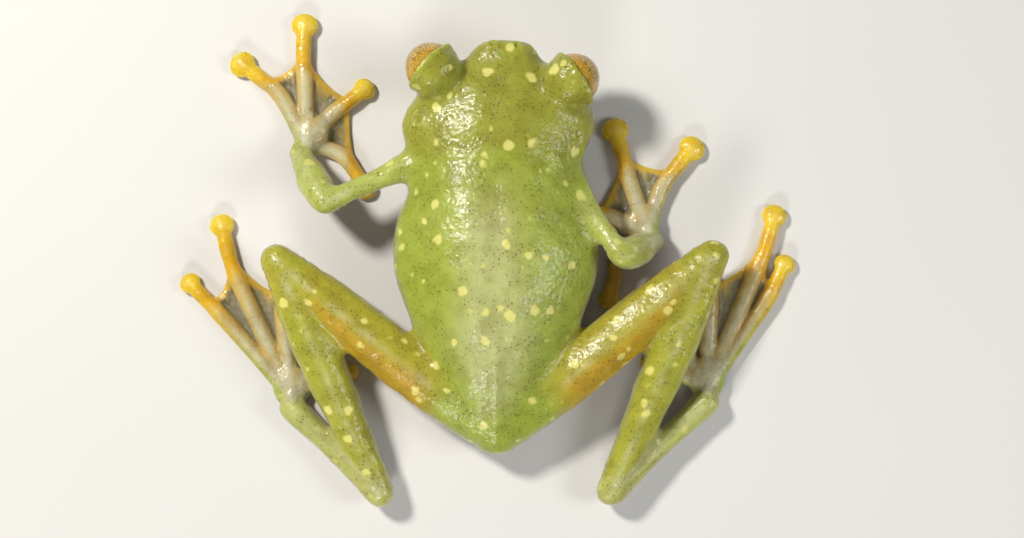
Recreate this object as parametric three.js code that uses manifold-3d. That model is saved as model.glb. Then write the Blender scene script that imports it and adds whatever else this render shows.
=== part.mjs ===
// A glass frog at life size, clinging flat with its belly, palms and soles on one level.
// Millimetres, +Z up, the snout towards -Y, the frog's own left towards +X.
// Each body part is one closed solid, and neighbours are parted by a thin seam.
import * as THREE from "three";
import { mergeVertices } from "three/addons/utils/BufferGeometryUtils.js";
import Module from "manifold-3d";

const wasm = await Module();
wasm.setup();

// Driving dimensions.
const SEAM = 0.1; // gap between neighbouring parts
const SNOUT_Y = -13.75; // tip of the snout, on the frog's own midline
const VENT_Y = 11.95; // rear end of the body
const NECK_Y = -6.4; // where head and trunk part, and the head's turning point
const HEAD_TURN = THREE.MathUtils.degToRad(4.5); // the head looks a little to the frog's right
const EYE_RADIUS = 1.62;
const EYE_ASIDE = 4.32; // eye centre from the head's midline
const EYE_Y = -11.55;
const EYE_HEIGHT = 4.75;
const LID_GROWTH = 0.24; // thickness of the lids round each eyeball
const LID_OPENING = 0.3; // where the lids end, as a share of the eye's radius towards its gaze
const GAZE_ASIDE = THREE.MathUtils.degToRad(52); // each eye looks this far to its side
const WEB_THICKNESS = 0.5;
const SIMPLER = 0.07; // facets flatter than this are joined
const DIGIT_HEIGHT = 0.42; // height of a digit's centre line over the ground
const DISC_HEIGHT = 0.4;
const BODY_END_DEPTH = 0.45; // how far the blunt snout and the rear end bulge
const BODY_SQUARENESS = 0.85; // below 1, cross-sections are fuller than ellipses

// How finely the round forms are faceted.
const BODY_SIDES = 24;
const BODY_RINGS = 20;
const CAP_RINGS = 2;
const THIGH_SIDES = 12;
const LIMB_SIDES = 10;
const LIMB_RINGS = 6;
const DIGIT_SIDES = 8;
const DIGIT_RINGS = 3;
const EYE_FACETS = { across: 16, down: 8 };
const PALM_FACETS = { across: 12, down: 6 };
const DISC_FACETS = { across: 10, down: 4 };
const WEB_EDGE_FACETS = 4;

// Cross-sections of head and trunk: place along the body, half-widths low and high, belly and back heights.
const BODY_STATIONS = [
  { y: SNOUT_Y, low: 1.3, high: 1.15, belly: 3.4, back: 4.4 },
  { y: -13.1, low: 2.0, high: 1.7, belly: 2.85, back: 4.8 },
  { y: -12.4, low: 2.5, high: 1.95, belly: 1.95, back: 5.0 },
  { y: -11.5, low: 3.85, high: 2.5, belly: 1.3, back: 5.3 },
  { y: -10.2, low: 5.35, high: 3.6, belly: 0.9, back: 5.7 },
  { y: -8.7, low: 6.0, high: 4.3, belly: 0.75, back: 6.0 },
  { y: -7.2, low: 5.65, high: 4.3, belly: 0.8, back: 6.1 },
  { y: -5.9, low: 5.15, high: 4.0, belly: 0.8, back: 6.2 },
  { y: -4.4, low: 5.45, high: 4.1, belly: 0.4, back: 6.45 },
  { y: -2.7, low: 6.1, high: 4.4, belly: 0.05, back: 6.8 },
  { y: -1.0, low: 6.4, high: 4.6, belly: -0.12, back: 7.0 },
  { y: 1.0, low: 6.2, high: 4.6, belly: -0.15, back: 6.95 },
  { y: 3.2, low: 5.45, high: 4.2, belly: -0.1, back: 6.6 },
  { y: 5.4, low: 4.5, high: 3.7, belly: 0.05, back: 6.0 },
  { y: 7.6, low: 3.6, high: 3.1, belly: 0.3, back: 5.2 },
  { y: 9.6, low: 2.8, high: 2.4, belly: 0.65, back: 4.35 },
  { y: 11.1, low: 1.7, high: 1.5, belly: 1.1, back: 3.5 },
  { y: VENT_Y, low: 0.6, high: 0.6, belly: 1.8, back: 2.8 },
];

// Joints of the limbs in the photographed pose, as x, y and height, by the frog's own side.
const ARMS = {
  right: {
    shoulder: [-4.2, -5.5, 3.1],
    elbow: [-7.75, -0.35, 5.0],
    wrist: [-9.9, -1.25, 1.15],
    palm: [-9.15, -2.55, 0.75],
    fingers: [
      { knuckle: [-7.75, -0.35], bend: [-7.45, 1.0], tip: [-7.1, 2.35] },
      { knuckle: [-7.6, -2.75], bend: [-6.5, -3.1], tip: [-5.35, -3.65] },
      { knuckle: [-8.4, -5.2], bend: [-8.0, -6.7], tip: [-7.5, -8.35] },
      { knuckle: [-10.35, -4.55], bend: [-11.2, -5.8], tip: [-12.35, -7.2] },
    ],
  },
  left: {
    shoulder: [3.9, -6.7, 3.1],
    elbow: [10.5, -3.65, 4.4],
    wrist: [12.3, -6.85, 1.15],
    palm: [11.65, -8.25, 0.75],
    fingers: [
      { knuckle: [9.85, -6.85], bend: [8.85, -5.65], tip: [8.2, -4.6] },
      { knuckle: [10.3, -9.4], bend: [9.3, -10.15], tip: [8.3, -10.95] },
      { knuckle: [12.05, -11.2], bend: [12.15, -13.0], tip: [12.07, -14.95] },
      { knuckle: [13.6, -10.55], bend: [14.7, -11.5], tip: [16.0, -12.5] },
    ],
  },
};
const LEGS = {
  right: {
    hip: [-1.25, 9.95, 2.35],
    knee: [-13.35, -0.35, 3.7],
    heel: [-7.2, 14.3, 1.5],
    sole: [-13.2, 8.75, 0.95],
    toes: [
      { knuckle: [-11.5, 6.9], bend: [-10.6, 6.45], tip: [-9.45, 6.3] },
      { knuckle: [-11.75, 5.35], bend: [-11.2, 4.15], tip: [-10.5, 2.85] },
      { knuckle: [-13.5, 2.9], bend: [-13.45, 1.4], tip: [-13.2, -0.25] },
      { knuckle: [-16.25, 0.85], bend: [-17.0, -1.0], tip: [-17.55, -2.95] },
      { knuckle: [-16.85, 2.7], bend: [-17.6, 1.35], tip: [-18.2, 0.1] },
    ],
  },
  left: {
    hip: [1.25, 9.95, 2.35],
    knee: [13.5, -0.1, 3.7],
    heel: [7.3, 14.35, 1.5],
    sole: [12.75, 9.15, 0.95],
    toes: [
      { knuckle: [11.1, 7.5], bend: [10.1, 7.05], tip: [9.05, 6.9] },
      { knuckle: [11.3, 5.95], bend: [10.75, 4.7], tip: [10.15, 3.4] },
      { knuckle: [13.45, 3.6], bend: [13.5, 2.0], tip: [13.3, 0.4] },
      { knuckle: [16.0, 1.75], bend: [16.8, -0.3], tip: [17.3, -2.35] },
      { knuckle: [17.05, 3.65], bend: [18.2, 2.45], tip: [19.3, 1.3] },
    ],
  },
};

// Half-thicknesses along each limb segment, from the body outwards.
const UPPER_ARM_RADII = [1.4, 0.85, 0.68, 0.8];
const FOREARM_RADII = [0.85, 1.05, 0.92, 0.75];
const THIGH_RADII = [1.5, 1.62, 1.5, 1.2];
const SHANK_RADII = [1.15, 1.4, 1.2, 1.05];
const TARSUS_RADII = [1.05, 0.85, 0.8, 0.95];
const METAPODIAL_RADIUS = 0.58; // the digits' stretch inside palm and sole
const FINGER_RADII = [0.55, 0.54, 0.6];
const TOE_RADII = [0.52, 0.5, 0.55];
const FINGER_DISC = [0.68, 0.72, 0.86, 0.86]; // disc half-widths, innermost digit first
const TOE_DISC = [0.5, 0.64, 0.74, 0.8, 0.7];
const DISC_LENGTH = 0.88; // a disc's length as a share of its width
const WEB_FULLNESS = 0.85; // how little the web's edge is drawn back between two digits
const PALM_SIZE = new THREE.Vector3(1.25, 1.25, 0.7); // half-sizes of the fleshy middle
const SOLE_SIZE = new THREE.Vector3(1.2, 1.5, 0.62);
const SOLE_REACH = 0.25; // where that middle lies, as a share of the way to the middle toe

const FLESH = { olive: "#8d8a5c", amber: "#b58a2c", digit: "#d8a01e", web: "#a59a66", eye: "#d0a03f" };

const UP = new THREE.Vector3(0, 0, 1);
const vec = (p) => new THREE.Vector3(p[0], p[1], p[2] ?? DIGIT_HEIGHT);

// A closed geometry as a solid for joining and cutting.
function solidOf(geometry) {
  const bare = geometry.index ? geometry.toNonIndexed() : geometry.clone();
  bare.deleteAttribute("normal");
  bare.deleteAttribute("uv");
  const merged = mergeVertices(bare, 1e-4);
  return new wasm.Manifold(
    new wasm.Mesh({
      numProp: 3,
      vertProperties: merged.attributes.position.array,
      triVerts: new Uint32Array(merged.index.array),
    }),
  );
}

function geometryOf(solid) {
  const mesh = solid.getMesh();
  const geometry = new THREE.BufferGeometry();
  geometry.setAttribute("position", new THREE.BufferAttribute(mesh.vertProperties, 3));
  geometry.setIndex(new THREE.BufferAttribute(mesh.triVerts, 1));
  geometry.computeVertexNormals();
  return geometry;
}

// A smooth reading of evenly spaced values at t from 0 to 1.
function blend(values, t) {
  const place = THREE.MathUtils.clamp(t, 0, 1) * (values.length - 1);
  const i = Math.min(Math.floor(place), values.length - 2);
  return THREE.MathUtils.lerp(values[i], values[i + 1], THREE.MathUtils.smoothstep(place - i, 0, 1));
}

// A round-ended limb along a smooth curve, with half-thicknesses that change along it.
function limb(points, radii, sides = LIMB_SIDES, rings = LIMB_RINGS, grow = 0) {
  const curve = new THREE.CatmullRomCurve3(points);
  const geometry = new THREE.CapsuleGeometry(1, 2, CAP_RINGS, sides, rings);
  const position = geometry.attributes.position;
  for (let i = 0; i < position.count; i++) {
    const along = THREE.MathUtils.clamp(position.getY(i), -1, 1);
    const t = (along + 1) / 2;
    const radius = blend(radii, t) + grow;
    const tangent = curve.getTangentAt(t);
    const across = new THREE.Vector3().crossVectors(tangent, UP).normalize();
    const lift = new THREE.Vector3().crossVectors(across, tangent);
    const place = curve
      .getPointAt(t)
      .addScaledVector(tangent, (position.getY(i) - along) * radius)
      .addScaledVector(across, -position.getX(i) * radius)
      .addScaledVector(lift, -position.getZ(i) * radius);
    position.setXYZ(i, place.x, place.y, place.z);
  }
  return facingOut(geometry);
}

// Turns a solid's faces outwards if the mapping turned them inwards.
function facingOut(geometry) {
  const solid = solidOf(geometry);
  if (solid.volume() > 0) return solid;
  const turned = geometry.toNonIndexed();
  const position = turned.attributes.position;
  const corner = new THREE.Vector3();
  const other = new THREE.Vector3();
  for (let i = 0; i < position.count; i += 3) {
    corner.fromBufferAttribute(position, i + 1);
    other.fromBufferAttribute(position, i + 2);
    position.setXYZ(i + 1, other.x, other.y, other.z);
    position.setXYZ(i + 2, corner.x, corner.y, corner.z);
  }
  return solidOf(turned);
}

function ball(centre, size, facets, turn = 0) {
  const geometry = new THREE.SphereGeometry(1, facets.across, facets.down);
  geometry.scale(size.x, size.y, size.z).rotateZ(turn).translate(centre.x, centre.y, centre.z);
  return solidOf(geometry);
}

// The smooth value of one measure of the body's cross-sections at a place along it.
const stationSplines = {};
for (const key of ["low", "high", "belly", "back"]) {
  const points = BODY_STATIONS.map((s) => new THREE.Vector2(s.y, s[key]));
  stationSplines[key] = new THREE.SplineCurve(points);
}

function bodyMeasure(key, y) {
  const last = BODY_STATIONS.length - 1;
  let i = BODY_STATIONS.findIndex((s) => s.y > y) - 1;
  if (i < 0) i = y <= SNOUT_Y ? 0 : last - 1;
  const a = BODY_STATIONS[i];
  const b = BODY_STATIONS[Math.min(i + 1, last)];
  const share = THREE.MathUtils.clamp((y - a.y) / (b.y - a.y), 0, 1);
  return stationSplines[key].getPoint((i + share) / last).y;
}

// How far the midline lies to one side, because the head is turned.
const midline = (y) => Math.min(0, (y - NECK_Y) * Math.tan(HEAD_TURN));

// Head and trunk in one, grown all round where a neighbour is to be cut clear of it.
function wholeBody(grow) {
  const geometry = new THREE.CapsuleGeometry(1, 2, CAP_RINGS, BODY_SIDES, BODY_RINGS);
  const position = geometry.attributes.position;
  for (let i = 0; i < position.count; i++) {
    const along = THREE.MathUtils.clamp(position.getY(i), -1, 1);
    const inner = THREE.MathUtils.lerp(SNOUT_Y + BODY_END_DEPTH, VENT_Y - BODY_END_DEPTH, (along + 1) / 2);
    const y = inner + (position.getY(i) - along) * (BODY_END_DEPTH + grow);
    const ring = Math.hypot(position.getX(i), position.getZ(i));
    const angle = Math.atan2(position.getZ(i), position.getX(i));
    const rise = Math.sign(Math.sin(angle)) * Math.abs(Math.sin(angle)) ** BODY_SQUARENESS;
    const aside = Math.sign(Math.cos(angle)) * Math.abs(Math.cos(angle)) ** BODY_SQUARENESS;
    const narrowing = THREE.MathUtils.smoothstep(rise, 0, 1);
    const [low, high] = [bodyMeasure("low", inner), bodyMeasure("high", inner)];
    const width = THREE.MathUtils.lerp(low, high, narrowing) + grow;
    const bellyZ = bodyMeasure("belly", inner) - grow;
    const backZ = bodyMeasure("back", inner) + grow;
    const z = (bellyZ + backZ + ring * rise * (backZ - bellyZ)) / 2;
    position.setXYZ(i, midline(inner) + aside * width * ring, y, z);
  }
  return facingOut(geometry);
}

function eyeCentre(side) {
  const fromNeck = new THREE.Vector3(side * EYE_ASIDE, EYE_Y - NECK_Y, EYE_HEIGHT);
  return fromNeck.applyAxisAngle(UP, -HEAD_TURN).add(new THREE.Vector3(0, NECK_Y, 0));
}

const eyeball = (side, grow = 0) => {
  const r = EYE_RADIUS + grow;
  return ball(eyeCentre(side), new THREE.Vector3(r, r, r), EYE_FACETS);
};

// The skin that holds an eye: a ball left open towards the gaze.
function lids(side) {
  const gaze = new THREE.Vector3(side * Math.sin(GAZE_ASIDE), -Math.cos(GAZE_ASIDE), 0);
  gaze.applyAxisAngle(UP, -HEAD_TURN);
  const opening = gaze.dot(eyeCentre(side)) + LID_OPENING * EYE_RADIUS;
  return eyeball(side, LID_GROWTH).trimByPlane([-gaze.x, -gaze.y, 0], -opening);
}

// The web between two neighbouring digits: a thin plate with a hollowed free edge.
function web(root, one, other) {
  const middle = new THREE.Vector2((one.x + other.x) / 2, (one.y + other.y) / 2);
  const notch = new THREE.Vector2(root.x, root.y).lerp(middle, WEB_FULLNESS);
  const shape = new THREE.Shape();
  shape.moveTo(root.x, root.y);
  shape.lineTo(one.x, one.y);
  shape.quadraticCurveTo(notch.x, notch.y, other.x, other.y);
  shape.closePath();
  const plate = { depth: WEB_THICKNESS, bevelEnabled: false, curveSegments: WEB_EDGE_FACETS };
  return solidOf(new THREE.ExtrudeGeometry(shape, plate));
}

const above = (solid) => solid.trimByPlane([0, 0, 1], 0); // keeps what is over the ground

// The plane that parts two limb segments at their joint.
function partingPlane(before, joint, after) {
  const normal = joint.clone().sub(before).normalize();
  normal.add(after.clone().sub(joint).normalize()).normalize();
  return { normal, offset: normal.dot(joint) };
}

function keepBefore(solid, plane) {
  const n = plane.normal;
  return solid.trimByPlane([-n.x, -n.y, -n.z], -plane.offset + SEAM / 2);
}

function keepAfter(solid, plane) {
  const n = plane.normal;
  return solid.trimByPlane([n.x, n.y, n.z], plane.offset + SEAM / 2);
}

// A digit's free end: from its knuckle at the web's edge to the disc at its tip.
function digitEnd(digit, radii, disc, grow = 0) {
  const points = [vec(digit.knuckle), vec(digit.bend), vec(digit.tip)];
  const shaft = limb(points, radii, DIGIT_SIDES, DIGIT_RINGS, grow);
  const heading = Math.atan2(digit.tip[1] - digit.bend[1], digit.tip[0] - digit.bend[0]);
  const size = new THREE.Vector3(disc * DISC_LENGTH + grow, disc + grow, DISC_HEIGHT + grow);
  const pad = ball(vec([...digit.tip, DISC_HEIGHT]), size, DISC_FACETS, heading);
  return shaft.add(pad);
}

// Palm or sole: the digits' inner stretches, a fleshy middle and the webs, clear of the free digits.
function handPlate(root, centre, digits, digitEnds, middleSize) {
  const wristDepths = [middleSize.z, middleSize.z];
  const bones = [METAPODIAL_RADIUS, METAPODIAL_RADIUS];
  const start = root.clone().lerp(centre, 0.5).setZ(DIGIT_HEIGHT); // halfway in, where the digits fan out
  let plate = ball(centre, middleSize, PALM_FACETS).add(limb([root, centre], wristDepths));
  for (const digit of digits) {
    plate = plate.add(limb([start, vec(digit.knuckle)], bones, DIGIT_SIDES, DIGIT_RINGS));
  }
  const bends = digits.map((d) => vec(d.bend));
  for (let i = 0; i + 1 < bends.length; i++) {
    plate = plate.add(webFacingUp(start, bends[i], bends[i + 1]));
  }
  for (const end of digitEnds) plate = plate.subtract(end);
  return above(plate);
}

// The web's outline has to run anticlockwise to face outwards.
function webFacingUp(root, one, other) {
  const turn = (one.x - root.x) * (other.y - root.y) - (one.y - root.y) * (other.x - root.x);
  return turn > 0 ? web(root, one, other) : web(root, other, one);
}

const parts = new THREE.Group();

function addPart(name, solid, colour, roughness = 0.35) {
  const largest = solid.decompose().sort((a, b) => b.volume() - a.volume())[0];
  const material = new THREE.MeshStandardMaterial({ color: colour, roughness, metalness: 0 });
  const mesh = new THREE.Mesh(geometryOf(largest.simplify(SIMPLER)), material);
  mesh.name = name;
  parts.add(mesh);
}

function addHeadAndTrunk() {
  const body = above(wholeBody(0));
  const facing = new THREE.Vector3(Math.sin(HEAD_TURN), Math.cos(HEAD_TURN), 0);
  const neck = { normal: facing, offset: facing.y * NECK_Y };
  let head = keepBefore(body, neck);
  for (const side of [-1, 1]) head = head.add(lids(side));
  for (const side of [-1, 1]) head = head.subtract(eyeball(side, SEAM));
  addPart("head", head, FLESH.olive);
  addPart("trunk", keepAfter(body, neck), FLESH.olive);
  addPart("eye_right", eyeball(-1), FLESH.eye, 0.1);
  addPart("eye_left", eyeball(1), FLESH.eye, 0.1);
}

function addArm(side, arm, bodyClearance) {
  const [shoulder, elbow, wrist, palm] = [arm.shoulder, arm.elbow, arm.wrist, arm.palm].map(vec);
  const elbowPlane = partingPlane(shoulder, elbow, wrist);
  const wristPlane = partingPlane(elbow, wrist, palm);
  const upper = limb([shoulder, elbow], UPPER_ARM_RADII);
  const fore = limb([elbow, wrist], FOREARM_RADII);
  addPart(`upper_arm_${side}`, keepBefore(upper, elbowPlane).subtract(bodyClearance), FLESH.olive);
  addPart(`forearm_${side}`, above(keepBefore(keepAfter(fore, elbowPlane), wristPlane)), FLESH.olive);
  const clear = arm.fingers.map((f, i) => digitEnd(f, FINGER_RADII, FINGER_DISC[i], SEAM));
  const hand = handPlate(wrist, palm, arm.fingers, clear, PALM_SIZE);
  addPart(`hand_${side}`, keepAfter(hand, wristPlane), FLESH.web);
  arm.fingers.forEach((finger, i) => {
    addPart(`finger_${side}_${i + 1}`, above(digitEnd(finger, FINGER_RADII, FINGER_DISC[i])), FLESH.digit);
  });
}

function addLeg(side, leg, bodyClearance) {
  const [hip, knee, heel, sole] = [leg.hip, leg.knee, leg.heel, leg.sole].map(vec);
  const fan = sole.clone().lerp(vec(leg.toes[2].knuckle), SOLE_REACH).setZ(SOLE_SIZE.z);
  const kneePlane = partingPlane(hip, knee, heel);
  const heelPlane = partingPlane(knee, heel, sole);
  const solePlane = partingPlane(heel, sole, fan);
  const thigh = limb([hip, knee], THIGH_RADII, THIGH_SIDES);
  const shank = limb([knee, heel], SHANK_RADII);
  const tarsus = limb([heel, sole], TARSUS_RADII);
  addPart(`thigh_${side}`, keepBefore(thigh, kneePlane).subtract(bodyClearance), FLESH.amber);
  addPart(`shank_${side}`, above(keepBefore(keepAfter(shank, kneePlane), heelPlane)), FLESH.olive);
  addPart(`tarsus_${side}`, above(keepBefore(keepAfter(tarsus, heelPlane), solePlane)), FLESH.olive);
  const clear = leg.toes.map((t, i) => digitEnd(t, TOE_RADII, TOE_DISC[i], SEAM));
  const foot = handPlate(sole, fan, leg.toes, clear, SOLE_SIZE);
  addPart(`foot_${side}`, keepAfter(foot, solePlane), FLESH.web);
  leg.toes.forEach((toe, i) => {
    addPart(`toe_${side}_${i + 1}`, above(digitEnd(toe, TOE_RADII, TOE_DISC[i])), FLESH.digit);
  });
}

addHeadAndTrunk();
const clearOfBody = wholeBody(SEAM);
for (const side of ["right", "left"]) {
  addArm(side, ARMS[side], clearOfBody);
  addLeg(side, LEGS[side], clearOfBody);
}

// The origin is under the middle of the whole frog, on the ground.
const extent = new THREE.Box3().setFromObject(parts);
const middle = extent.getCenter(new THREE.Vector3());
parts.position.set(-middle.x, -middle.y, -extent.min.z);

export default parts;
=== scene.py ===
# A glass frog at life size, clinging flat, with its see-through belly skin on the ground.
# Shapes are made in millimetres, and each finished piece is then scaled to metres and set in the frame.
import math

import bmesh
import bpy
import numpy as np
from mathutils import Matrix, Vector


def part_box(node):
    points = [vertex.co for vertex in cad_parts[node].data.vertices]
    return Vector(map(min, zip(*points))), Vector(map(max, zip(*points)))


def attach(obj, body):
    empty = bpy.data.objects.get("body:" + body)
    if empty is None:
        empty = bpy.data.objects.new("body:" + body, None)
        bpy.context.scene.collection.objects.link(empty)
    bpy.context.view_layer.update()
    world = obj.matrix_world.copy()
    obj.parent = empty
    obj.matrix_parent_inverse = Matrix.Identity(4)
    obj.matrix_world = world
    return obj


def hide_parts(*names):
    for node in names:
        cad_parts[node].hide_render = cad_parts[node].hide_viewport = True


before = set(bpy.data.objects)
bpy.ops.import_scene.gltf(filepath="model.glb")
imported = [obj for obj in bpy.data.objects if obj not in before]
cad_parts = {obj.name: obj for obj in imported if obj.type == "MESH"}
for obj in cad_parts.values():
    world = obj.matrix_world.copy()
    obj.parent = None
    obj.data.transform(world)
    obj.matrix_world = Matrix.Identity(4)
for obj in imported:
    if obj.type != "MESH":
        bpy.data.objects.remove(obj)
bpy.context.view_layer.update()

# Where the frog's own midline and zero lie in the frame, in millimetres.
MM = 0.001
VENT_Y = 11.95
trunk_low, trunk_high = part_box("trunk")
MIDLINE_X = (trunk_low.x + trunk_high.x) / 2 / MM
ZERO_Y = trunk_high.y / MM - VENT_Y

# Head and trunk.
SNOUT_Y = -13.75
NECK_Y = -6.4
HEAD_TURN = math.radians(4.5)
BODY_END_DEPTH = 0.45
BODY_SQUARENESS = 0.85
BODY_HALF_WIDTH = 6.6  # nothing of head or trunk lies further from the midline
BACK_HALF_WIDTH = 6

# Cross-sections of the body: place along it, half-widths low and high, belly and back heights.
BODY_STATIONS = [
    (SNOUT_Y, 1.3, 1.15, 3.4, 4.4),
    (-13.1, 2.0, 1.7, 2.85, 4.8),
    (-12.4, 2.5, 1.95, 1.95, 5.0),
    (-11.5, 3.85, 2.5, 1.3, 5.3),
    (-10.2, 5.35, 3.6, 0.9, 5.7),
    (-8.7, 6.0, 4.3, 0.75, 6.0),
    (-7.2, 5.65, 4.3, 0.8, 6.1),
    (-5.9, 5.15, 4.0, 0.8, 6.2),
    (-4.4, 5.45, 4.1, 0.4, 6.45),
    (-2.7, 6.1, 4.4, 0.05, 6.8),
    (-1.0, 6.4, 4.6, -0.12, 6.95),
    (1.0, 6.2, 4.6, -0.15, 6.9),
    (3.2, 5.45, 4.2, -0.1, 6.6),
    (5.4, 4.5, 3.7, 0.05, 6.0),
    (7.6, 3.6, 3.1, 0.3, 5.2),
    (9.6, 2.8, 2.4, 0.65, 4.35),
    (11.1, 1.7, 1.5, 1.1, 3.5),
    (VENT_Y, 0.6, 0.6, 1.8, 2.8),
]

# Eyes.
EYE_RADIUS = 1.62
EYE_ASIDE = 4.32
EYE_Y = -11.55
EYE_HEIGHT = 4.75
GAZE_ASIDE = math.radians(52)
GAZE_UP = math.radians(-8)
LID_THICKNESS = 0.17
LID_OPENING = {"across": math.radians(80), "above": math.radians(78), "below": math.radians(66)}
PUPIL = (0.92, 0.4)  # half-width and half-height
CORNEA_BULGE = 0.08
SOCKET_DEPTH = 0.45  # how far the skin behind the eyeball's surface is drawn in

# Joints of the limbs, by the frog's own side: x, y and height, then each digit's knuckle, bend and tip.
DIGIT_HEIGHT = 0.42
LIMBS = {
    "right": {
        "arm": [(-4.2, -5.5, 3.1), (-7.75, -0.35, 5.0), (-9.9, -1.25, 1.15)],
        "palm": (-9.15, -2.55, 0.75),
        "fingers": [
            [(-7.75, -0.35), (-7.45, 1.0), (-7.1, 2.35)],
            [(-7.6, -2.75), (-6.5, -3.1), (-5.35, -3.65)],
            [(-8.4, -5.2), (-8.0, -6.7), (-7.5, -8.35)],
            [(-10.35, -4.55), (-11.2, -5.8), (-12.35, -7.2)],
        ],
        "leg": [(-1.25, 9.95, 2.35), (-13.35, -0.35, 3.7), (-7.2, 14.3, 1.5), (-13.2, 8.75, 0.95)],
        "toes": [
            [(-11.5, 6.9), (-10.6, 6.45), (-9.45, 6.3)],
            [(-11.75, 5.35), (-11.2, 4.15), (-10.5, 2.85)],
            [(-13.5, 2.9), (-13.45, 1.4), (-13.2, -0.25)],
            [(-16.25, 0.85), (-17.0, -1.0), (-17.55, -2.95)],
            [(-16.85, 2.7), (-17.6, 1.35), (-18.2, 0.1)],
        ],
    },
    "left": {
        "arm": [(3.9, -6.7, 3.1), (10.5, -3.65, 4.4), (12.3, -6.85, 1.15)],
        "palm": (11.65, -8.25, 0.75),
        "fingers": [
            [(9.85, -6.85), (8.85, -5.65), (8.2, -4.6)],
            [(10.3, -9.4), (9.3, -10.15), (8.3, -10.95)],
            [(12.05, -11.2), (12.15, -13.0), (12.07, -14.95)],
            [(13.6, -10.55), (14.7, -11.5), (16.0, -12.5)],
        ],
        "leg": [(1.25, 9.95, 2.35), (13.5, -0.1, 3.7), (7.3, 14.35, 1.5), (12.75, 9.15, 0.95)],
        "toes": [
            [(11.1, 7.5), (10.1, 7.05), (9.05, 6.9)],
            [(11.3, 5.95), (10.75, 4.7), (10.15, 3.4)],
            [(13.45, 3.6), (13.5, 2.0), (13.3, 0.4)],
            [(16.0, 1.75), (16.8, -0.3), (17.3, -2.35)],
            [(17.05, 3.65), (18.2, 2.45), (19.3, 1.3)],
        ],
    },
}
FINGER_DISC = [0.68, 0.72, 0.86, 0.86]
TOE_DISC = [0.5, 0.64, 0.74, 0.8, 0.7]

# Half-thicknesses along each limb segment, from the body outwards.
UPPER_ARM = [1.35, 0.95, 0.7, 0.66, 0.78]
FOREARM = [0.78, 1.02, 1.05, 0.86, 0.7]
THIGH = [1.35, 1.66, 1.68, 1.5, 1.12]
SHANK = [1.02, 1.38, 1.4, 1.12, 0.98]
TARSUS = [1.0, 0.84, 0.76, 0.8, 0.92]
DIGIT = [0.5, 0.46, 0.5, 0.42, 0.45, 0.38]
WEB_THICKNESS = 0.3
WEB_LEVEL = 0.06
WEB_FULLNESS = 0.82
HEM_RADIUS = 0.16
DISC_HEIGHT = 0.36
INSTEP_HEIGHT = 0.62
HAND_SIZE = (1.25, 1.15, 0.68)
FOOT_SIZE = (1.5, 1.15, 0.6)

# Sizes of the remeshes and of the finished skin.
COARSE_VOXEL = 0.2
FINE_VOXEL = 0.09
SKIN_TRIANGLES = 190000

# Colours as sRGB hex.
PALETTE = {
    "back": "#a3b040",
    "back_pale": "#bfc56c",
    "back_spot": "#ece488",
    "speck": "#2f3512",
    "snout": "#a09e3a",
    "flank": "#a6aa88",
    "belly": "#827e6c",
    "throat": "#b0a590",
    "lip": "#dcd8b8",
    "chest": "#a28279",
    "heart": "#6f3a50",
    "heart_tip": "#b44f50",
    "organ": "#f2e7de",
    "eggs": "#e8cbb8",
    "crackle": "#b98062",
    "gall": "#cba23c",
    "vein": "#cc4650",
    "lace": "#dad6ce",
    "thigh_under": "#b39a78",
    "amber": "#c4a22c",
    "shank_under": "#a5a49a",
    "tarsus": "#b8aa8c",
    "sole": "#bdb388",
    "web": "#bdb68c",
    "digit": "#e0b01c",
    "disc": "#ecc632",
    "disc_mark": "#f4da7a",
    "vent": "#a08a6c",
    "bone": "#dadcbf",
    "vessel": "#6a5f3a",
    "olive_wash": "#b9a86e",
    "iris": "#a07a22",
    "iris_fleck": "#d2ae4c",
    "iris_net": "#2e1c04",
    "pupil_ring": "#e6c45c",
    "pupil": "#050403",
    "iris_edge": "#d9a828",
    "eye_rim": "#3b2a0c",
    "board": "#dcdad4",
    "board_pale": "#e2e0da",
}


def linear(name):
    """A palette colour as linear red, green and blue."""
    code = PALETTE[name]
    values = np.array([int(code[i:i + 2], 16) for i in (1, 3, 5)]) / 255
    return np.where(values <= 0.04045, values / 12.92, ((values + 0.055) / 1.055) ** 2.4)


def rgba(name):
    return (*linear(name), 1.0)


def step(low, high, x):
    """A soft step from 0 at low to 1 at high, or down where high is the smaller."""
    t = np.clip((np.asarray(x, float) - low) / (high - low), 0, 1)
    return t * t * (3 - 2 * t)


def bump(x, width):
    """A soft hump of height 1 at 0 that is gone at about twice its width."""
    return np.exp(-((np.asarray(x, float) / width) ** 2))


def smooth_table(rows, steps=10):
    """The rows of a table with smooth ones put between them."""
    rows = np.array(rows, float)
    rows = rows.reshape(len(rows), -1)
    padded = np.vstack([2 * rows[0] - rows[1], rows, 2 * rows[-1] - rows[-2]])
    out = []
    for i in range(len(rows) - 1):
        a, b, c, d = padded[i:i + 4]
        for t in np.linspace(0, 1, steps, endpoint=False):
            curve = 2 * b + (c - a) * t
            curve += (2 * a - 5 * b + 4 * c - d) * t ** 2
            curve += (3 * b - a - 3 * c + d) * t ** 3
            out.append(curve / 2)
    return np.array([*out, rows[-1]])


def closed_curve(points):
    """A smooth closed outline through the points."""
    return smooth_table([*points, points[0]], 4)


BODY_TABLE = smooth_table(BODY_STATIONS)


def body_measure(column, y):
    """Column 1 to 4 of the body's table at any place along it."""
    return np.interp(y, BODY_TABLE[:, 0], BODY_TABLE[:, column])


def midline(y):
    """How far the head's turn takes the midline to the frog's right."""
    return np.minimum(0, (y - NECK_Y) * math.tan(HEAD_TURN))


# Mesh making.


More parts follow.
